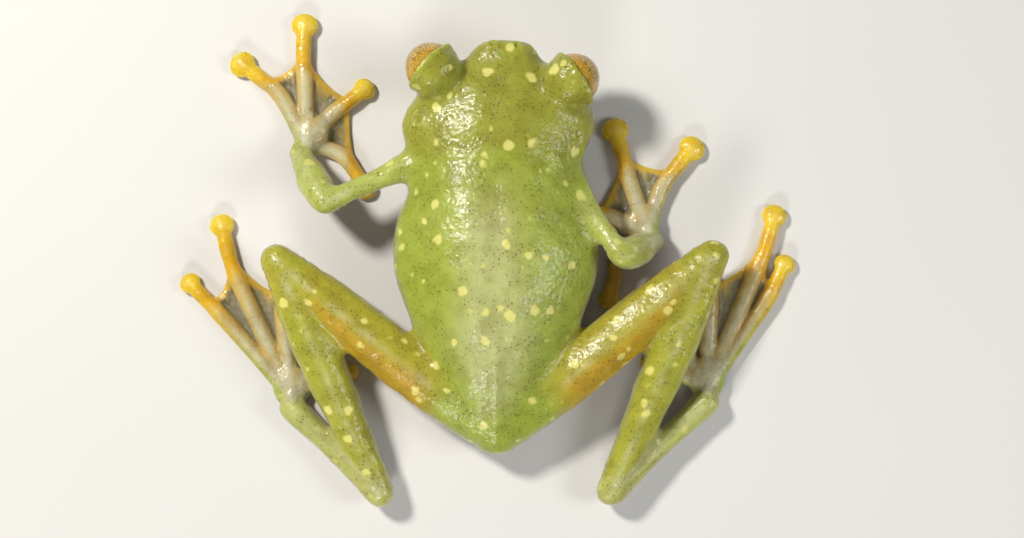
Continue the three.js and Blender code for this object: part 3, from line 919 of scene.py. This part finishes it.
def paint_extremities(colours, clear, yellow, places, normals, limb):
    """Lays the colours of hands and feet, and says where the webs are clear and the digits yellow."""
    low = step(2.1, 1.5, places[:, 2])
    for root, middle, digits, discs in hand_and_foot(limb):
        start = (root + middle) / 2
        fan = [start[:2], *[np.array(digit[1][:2]) for digit in digits]]
        in_fan = step(-0.5, 0.1, inside_outline(places, fan)) * low
        lay(colours, "sole", in_fan)
        yellow = np.maximum(yellow, in_fan * 0.6)
        nearest = np.full(len(places), 9.0)
        for digit in digits:
            away, share = along_path(places, [p[:2] for p in digit_path(start, digit)])
            nearest = np.minimum(nearest, away)
            on_digit = step(0.7, 0.45, away) * low
            tint = on_digit * step(0.32, 1.0, share)
            lay(colours, "digit", tint)
            fringe = bump(away - 0.55, 0.16) * low * step(0.1, 0.4, share)
            lay(colours, "digit", fringe * 0.6)
            lay(colours, "bone", bump(away, 0.22) * low * step(0.95, 0.45, share) * 0.4)
            yellow = np.maximum(yellow, np.maximum(tint, fringe * 0.6))
        web_share = in_fan * step(0.42, 0.62, nearest)
        web_share *= step(1.2, 1.8, np.linalg.norm(places - start, axis=1))
        lay(colours, "web", web_share)
        clear = np.maximum(clear, web_share)
        for one, other in zip(digits, digits[1:]):
            away, _ = along_path(places, web_edge(start, at(one[1]), at(other[1]))[:, :2])
            hem = step(0.34, 0.16, away) * low
            lay(colours, "digit", hem * 0.85)
            clear = clear * (1 - hem)
            yellow = np.maximum(yellow, hem)
        for digit, disc in zip(digits, discs):
            offset = (places - at(digit[2]))[:, :2]
            away = np.linalg.norm(offset, axis=1)
            lay(colours, "disc", step(disc * 1.5, disc * 1.0, away) * low)
            lay(colours, "disc_mark", bump(away, disc * 0.35) * low * 0.5)
    return clear, yellow


# Materials.


# Settings that a kind of node has here, unless others are given. By number, a Map Range takes its value,
# the ends of its range and the ends of its result, and a Mix its share and, as 6 and 7, its two colours.
USUAL_SETTINGS = {
    "Math": {"operation": "MULTIPLY"},
    "MapRange": {"interpolation_type": "SMOOTHSTEP"},
    "Mix": {"data_type": "RGBA"},
}


def fill_inputs(tree, made, inputs):
    """Gives a node's inputs plain values, or links from a socket or from a node's first live output."""
    for key, value in inputs.items():
        if isinstance(value, bpy.types.Node):
            value = next(socket for socket in value.outputs if socket.enabled)
        if isinstance(value, bpy.types.NodeSocket):
            tree.links.new(value, made.inputs[key])
        else:
            made.inputs[key].default_value = value


def node(tree, kind, inputs=None, **settings):
    """Adds a shader node with its settings and its inputs."""
    made = tree.nodes.new("ShaderNode" + kind)
    for name, value in {**USUAL_SETTINGS.get(kind, {}), **settings}.items():
        setattr(made, name, value)
    fill_inputs(tree, made, inputs or {})
    return made


def new_material(name):
    material = bpy.data.materials.new(name)
    material.use_nodes = True
    tree = material.node_tree
    return material, tree, tree.nodes["Principled BSDF"]


# The numbers painted on the skin that its material reads.
PAINTED = [
    "spotted", "specked", "clear", "below", "organs", "heart", "gall", "lace", "vein", "side_veins",
]


def wet_see_through_skin():
    """Living frog skin: soft, so that light soaks in, under a wet film that sparkles on its grains."""
    material, tree, shader = new_material("wet_see_through_skin")
    field = {}
    for name in PAINTED:
        field[name] = node(tree, "Attribute", attribute_name=name).outputs["Fac"]
    zone = node(tree, "Attribute", attribute_name="zone").outputs["Color"]
    places = node(tree, "TexCoord").outputs["Object"]
    mm = node(tree, "Mapping", {"Vector": places, "Scale": (1 / MM, 1 / MM, 1 / MM)})
    place_y = node(tree, "SeparateXYZ", {0: mm}).outputs["Y"]
    # Uneven colour in patches about a millimetre across.
    soft = node(tree, "TexNoise", {"Vector": mm, "Scale": 0.9, "Detail": 4.0})
    fine = node(tree, "TexNoise", {"Vector": mm, "Scale": 6.0, "Detail": 3.0})
    uneven = node(tree, "MapRange", {0: soft, 1: 0.35, 2: 0.7, 4: 0.35})
    washed = node(tree, "Mix", {0: 1.0, 6: zone, 7: rgba("olive_wash")}, blend_type="MULTIPLY")
    colour = node(tree, "Mix", {0: uneven, 6: zone, 7: washed})
    # Pale yellow spots of the back, 0.5 to 1 mm across and about 1.4 mm apart.
    bend = node(tree, "TexNoise", {"Vector": mm, "Scale": 1.6, "Detail": 2.0}).outputs["Color"]
    small_bend = node(tree, "VectorMath", {0: bend, 3: 0.5}, operation="SCALE")
    warped = node(tree, "VectorMath", {0: mm, 1: small_bend}, operation="ADD")
    spot_cells = node(tree, "TexVoronoi", {"Vector": warped, "Scale": 0.72})
    spot_size = node(tree, "SeparateColor", {0: spot_cells.outputs["Color"]})
    shrunk = node(tree, "Math", {0: spot_size, 1: 0.14, 2: spot_cells}, operation="MULTIPLY_ADD")
    spots = node(tree, "MapRange", {0: shrunk, 1: 0.32, 2: 0.2})
    spots = node(tree, "Math", {0: spots, 1: field["spotted"]})
    faint_spots = node(tree, "Math", {0: spots, 1: 0.75})
    colour = node(tree, "Mix", {0: faint_spots, 6: colour, 7: rgba("back_spot")})
    # Dark pigment cells, drawn at 0.1 mm, coarser than real ones, so that they show.
    speck_cells = node(tree, "TexVoronoi", {"Vector": mm, "Scale": 4.2})
    specks = node(tree, "MapRange", {0: speck_cells, 1: 0.3, 2: 0.16, 4: 0.6})
    patches = node(tree, "MapRange", {0: soft, 1: 0.35, 2: 0.6, 3: 0.35})
    off_spots = node(tree, "Math", {0: 1.0, 1: spots}, operation="SUBTRACT")
    for share in (field["specked"], patches, off_spots):
        specks = node(tree, "Math", {0: specks, 1: share})
    colour = node(tree, "Mix", {0: specks, 6: colour, 7: rgba("speck")})
    # The organs seen through the belly: white peritoneum above, a crackled pinkish mass below.
    lower = node(tree, "MapRange", {0: place_y, 1: ZERO_Y, 2: ZERO_Y + 2.2})
    mass = node(tree, "Mix", {0: lower, 6: rgba("organ"), 7: rgba("eggs")})
    cracks = node(tree, "TexVoronoi", {"Vector": warped, "Scale": 2.2}, feature="DISTANCE_TO_EDGE")
    lines = node(tree, "MapRange", {0: cracks, 1: 0.09, 2: 0.0, 4: 0.5})
    lines = node(tree, "Math", {0: lines, 1: lower})
    mass = node(tree, "Mix", {0: lines, 6: mass, 7: rgba("crackle")})
    tip = node(tree, "MapRange", {0: place_y, 1: ZERO_Y - 3.6, 2: ZERO_Y - 2.4})
    heart = node(tree, "Mix", {0: tip, 6: rgba("heart"), 7: rgba("heart_tip")})
    # Each mark on the belly: its field, whether its edge is ragged, where that edge starts and is full, its
    # strength and its colour.
    ragged = node(tree, "Math", {0: fine, 1: 0.3, 2: -0.15}, operation="MULTIPLY_ADD")
    marks = [
        ("organs", True, -0.1, 0.15, 1.0, mass),
        ("heart", True, -0.55, 0.45, 1.0, heart),
        ("gall", False, -0.1, 0.12, 0.9, rgba("gall")),
        ("lace", True, 0.19, 0.06, 0.85, rgba("lace")),
        ("vein", False, 0.26, 0.14, 0.92, rgba("vein")),
        ("side_veins", False, 0.1, 0.02, 0.5, rgba("lace")),
    ]
    for name, is_ragged, start, full, strength, tint in marks:
        edge = field[name]
        if is_ragged:
            edge = node(tree, "Math", {0: edge, 1: ragged}, operation="ADD")
        mark = node(tree, "MapRange", {0: edge, 1: start, 2: full, 4: strength})
        share = node(tree, "Math", {0: mark, 1: field["below"]})
        colour = node(tree, "Mix", {0: share, 6: colour, 7: tint})
    # Webs let the ground show through, crossed by a net of fine dark vessels half a millimetre apart.
    net = node(tree, "MapRange", {0: cracks, 1: 0.12, 2: 0.02})
    net = node(tree, "Math", {0: net, 1: field["clear"]})
    dark_net = node(tree, "Math", {0: net, 1: 0.6})
    colour = node(tree, "Mix", {0: dark_net, 6: colour, 7: rgba("vessel")})
    clearness = node(tree, "MapRange", {0: field["clear"], 3: 1.0, 4: 0.3})
    # Skin grains a quarter of a millimetre across, and a finer wet shimmer.
    grains = node(tree, "TexVoronoi", {"Vector": mm, "Scale": 3.6}, feature="SMOOTH_F1")
    shimmer = node(tree, "Math", {0: fine, 1: 0.5})
    height = node(tree, "Math", {0: grains, 1: -0.7, 2: shimmer}, operation="MULTIPLY_ADD")
    relief = node(tree, "Bump", {"Height": height, "Strength": 0.7, "Distance": 0.08 * MM})
    fill_inputs(tree, shader, {
        "Base Color": colour,
        "Alpha": node(tree, "Math", {0: net, 1: 0.4, 2: clearness}, operation="MULTIPLY_ADD"),
        "Roughness": node(tree, "MapRange", {0: fine, 1: 0.3, 2: 0.7, 3: 0.26, 4: 0.42}),
        "Normal": relief,
        "Coat Normal": relief,
        "IOR": 1.4,
        "Subsurface Weight": 0.8,
        "Subsurface Radius": (1.0, 0.9, 0.5),
        "Subsurface Scale": 1.3 * MM,
        "Coat Weight": 0.5,
        "Coat Roughness": 0.08,
        "Coat IOR": 1.33,
    })
    return material


def golden_eye():
    """A living eye: a speckled golden iris with a level black pupil under a clear wet cornea."""
    material, tree, shader = new_material("golden_eye")
    gaze = node(tree, "Attribute", attribute_name="gaze_mm").outputs["Vector"]
    forward = node(tree, "SeparateXYZ", {0: gaze}).outputs["Z"]
    # A golden iris with a net of dark flecks, its meshes under a tenth of a millimetre across.
    flecks = node(tree, "TexNoise", {"Vector": gaze, "Scale": 9.0, "Detail": 5.0})
    share = node(tree, "MapRange", {0: flecks, 1: 0.35, 2: 0.65})
    colour = node(tree, "Mix", {0: share, 6: rgba("iris"), 7: rgba("iris_fleck")})
    dots = node(tree, "TexVoronoi", {"Vector": gaze, "Scale": 13.0}, feature="DISTANCE_TO_EDGE")
    net = node(tree, "MapRange", {0: dots, 1: 0.14, 2: 0.03, 4: 0.9})
    in_dark = node(tree, "MapRange", {0: flecks, 1: 0.58, 2: 0.45})
    net = node(tree, "Math", {0: net, 1: in_dark})
    colour = node(tree, "Mix", {0: net, 6: colour, 7: rgba("iris_net")})
    # The pupil with its bright ring, and the edge of the iris and of the eyeball.
    to_round = (1 / PUPIL[0], 1 / PUPIL[1], 0)
    rounded = node(tree, "VectorMath", {0: gaze, 1: to_round}, operation="MULTIPLY")
    radius = node(tree, "VectorMath", {0: rounded}, operation="LENGTH")
    rings = [
        (radius, 1.45, 1.1, 1.0, "pupil_ring"),
        (radius, 1.08, 1.0, 1.0, "pupil"),
        (forward, 1.0, 0.75, 0.35, "iris_edge"),
        (forward, 0.5, 0.25, 1.0, "eye_rim"),
    ]
    for measure, start, full, strength, tint in rings:
        share = node(tree, "MapRange", {0: measure, 1: start, 2: full, 4: strength})
        colour = node(tree, "Mix", {0: share, 6: colour, 7: rgba(tint)})
    fill_inputs(tree, shader, {
        "Base Color": colour,
        "Roughness": 0.18,
        "Coat Weight": 1.0,
        "Coat Roughness": 0.02,
        "Coat IOR": 1.38,
    })
    return material


def pale_floor():
    """A matt painted board: pale, with a faint unevenness."""
    material, tree, shader = new_material("matt_painted_board")
    places = node(tree, "TexCoord").outputs["Object"]
    noise = node(tree, "TexNoise", {"Vector": places, "Scale": 30.0})
    colour = node(tree, "Mix", {0: noise, 6: rgba("board"), 7: rgba("board_pale")})
    fill_inputs(tree, shader, {"Base Color": colour, "Roughness": 0.75})
    return material


# Pieces.


def to_frame(piece):
    """Millimetres to metres, and the frog's own zero to its place in the frame."""
    move = Matrix.Diagonal((MM, MM, MM, 1)) @ Matrix.Translation((MIDLINE_X, ZERO_Y, 0))
    piece.data.transform(move)
    piece.data.polygons.foreach_set("use_smooth", [True] * len(piece.data.polygons))
    piece.data.update()


def make_skin():
    skin = fused_skin()
    sculpt(skin)
    thin_out(skin, SKIN_TRIANGLES)
    places = read_places(skin.data)
    places[:, 2] = np.maximum(places[:, 2], 0)
    write_places(skin.data, places)
    paint(skin.data)
    to_frame(skin)
    skin.data.materials.clear()
    skin.data.materials.append(wet_see_through_skin())
    return skin


def make_eye(side, name, material):
    """An eyeball, slightly bulged at its cornea, that knows its own gaze."""
    bm = bmesh.new()
    gaze, level, up = eye_axes(side)
    matrix = Matrix((level, up, gaze)).transposed().to_4x4()
    matrix.translation = eye_centre(side)
    made = bmesh.ops.create_uvsphere(bm, u_segments=64, v_segments=48, radius=EYE_RADIUS)["verts"]
    for vertex in made:
        vertex.co.z += CORNEA_BULGE * float(step(0.8, 1.6, vertex.co.z))
    eye = new_object(name, bm)
    local = read_places(eye.data)
    store = eye.data.attributes.new("gaze_mm", "FLOAT_VECTOR", "POINT")
    store.data.foreach_set("vector", local.astype(np.float32).ravel())
    eye.data.transform(matrix)
    to_frame(eye)
    eye.data.materials.append(material)
    return eye


FLOOR_HALF = 0.6  # in metres, as the lamps' measures are


def make_floor():
    bm = bmesh.new()
    bmesh.ops.create_grid(bm, x_segments=2, y_segments=2, size=FLOOR_HALF)
    floor = new_object("floor", bm)
    floor.data.materials.append(pale_floor())


# Soft oval lamps, all turned to the frog: place, size, power in watts and colour.
LAMPS = {
    "key": ((0.09, -0.07, 0.13), (0.028, 0.028), 0.27, (1.0, 0.97, 0.93)),
    "fill": ((-0.12, 0.02, 0.1), (0.06, 0.06), 0.08, (0.93, 0.96, 1.0)),
    "rear": ((0.03, 0.13, 0.08), (0.06, 0.03), 0.09, (1.0, 1.0, 1.0)),
}
ROOM_COLOUR = (0.9, 0.93, 1.0, 1)
ROOM_STRENGTH = 0.13


def soft_lamp(name, place, size, power, tint):
    data = bpy.data.lights.new(name, "AREA")
    data.shape = "ELLIPSE"
    data.size, data.size_y = size
    data.energy = power
    data.color = tint
    lamp = bpy.data.objects.new(name, data)
    lamp.location = place
    lamp.rotation_euler = (-Vector(place)).to_track_quat("-Z", "Y").to_euler()
    bpy.context.scene.collection.objects.link(lamp)


def light_studio():
    for name, settings in LAMPS.items():
        soft_lamp(name, *settings)
    world = bpy.data.worlds.new("studio")
    world.use_nodes = True
    room = world.node_tree.nodes["Background"]
    fill_inputs(world.node_tree, room, {"Color": ROOM_COLOUR, "Strength": ROOM_STRENGTH})
    bpy.context.scene.world = world
    bpy.context.scene.view_settings.view_transform = "Standard"


PHOTO_WIDTH_PX = 1024
PHOTO_SCALE = 0.062  # mm to a pixel, at the frog
LENS = 85.0
SENSOR = 36.0
CAMERA_LEVEL = 3.0  # the height in mm at which that scale holds
CENTRE_X = -1.0  # what the middle of the picture looks at, in the frog's own mm
CENTRE_Y = 0.4


def place_camera():
    """Straight above the frog, with its head at the top of the picture."""
    data = bpy.data.cameras.new("camera")
    data.lens = LENS
    data.sensor_width = SENSOR
    data.clip_start, data.clip_end = 0.005, 5.0
    camera = bpy.data.objects.new("camera", data)
    distance = PHOTO_WIDTH_PX * PHOTO_SCALE * LENS / SENSOR
    camera.location = Vector((CENTRE_X + MIDLINE_X, CENTRE_Y + ZERO_Y, CAMERA_LEVEL + distance)) * MM
    camera.rotation_euler = (0, 0, math.pi)
    bpy.context.scene.collection.objects.link(camera)
    bpy.context.scene.camera = camera


place_camera()
skin = make_skin()
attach(skin, "root")
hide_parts(*[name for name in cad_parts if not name.startswith("eye_")])
eye_material = golden_eye()
for side, name in ((-1, "eye_right"), (1, "eye_left")):
    eyeball = make_eye(side, "eyeball_" + name[4:], eye_material)
    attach(eyeball, "root")
    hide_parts(name)
make_floor()
light_studio()
